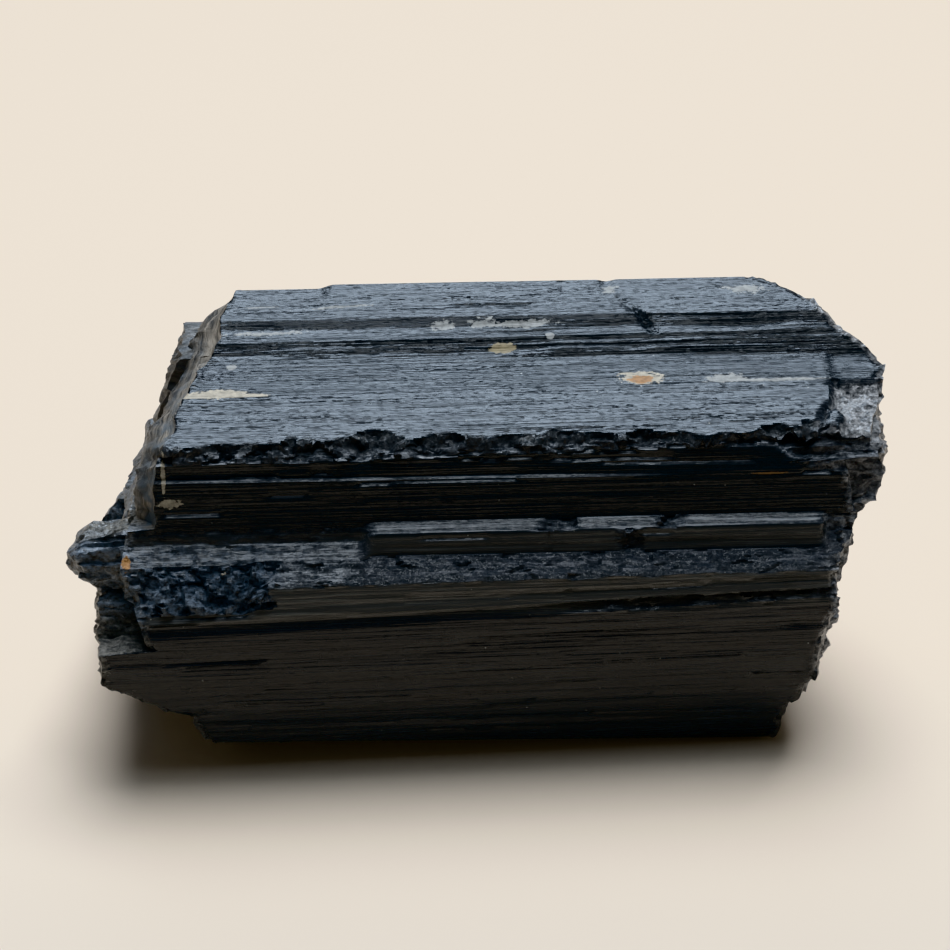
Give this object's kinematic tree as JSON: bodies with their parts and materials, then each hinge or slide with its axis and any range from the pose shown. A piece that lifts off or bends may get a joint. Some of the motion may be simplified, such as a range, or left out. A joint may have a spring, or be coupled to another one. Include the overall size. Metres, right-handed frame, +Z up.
{
  "type": "tourmaline crystal",
  "caption": "Rough black tourmaline crystal lying on its side, with long striated faces, stepped ledges, a chipped upper edge and both ends broken across.",
  "frame": {"origin": "middle of the crystal's bounding box, at the level of the flat side it rests on", "axes": "+X along the crystal to its right-hand broken end, +Z up from the resting side, so the striated front with the long ledge faces -Y"},
  "size_m": [0.0608, 0.0324, 0.0324],
  "materials": {
    "black_schorl": "near black stone, dull gloss on the striated faces and rough glitter on the breaks"
  },
  "bodies": {
    "root": {"tourmaline_crystal": "black_schorl"}
  },
  "joints": []
}
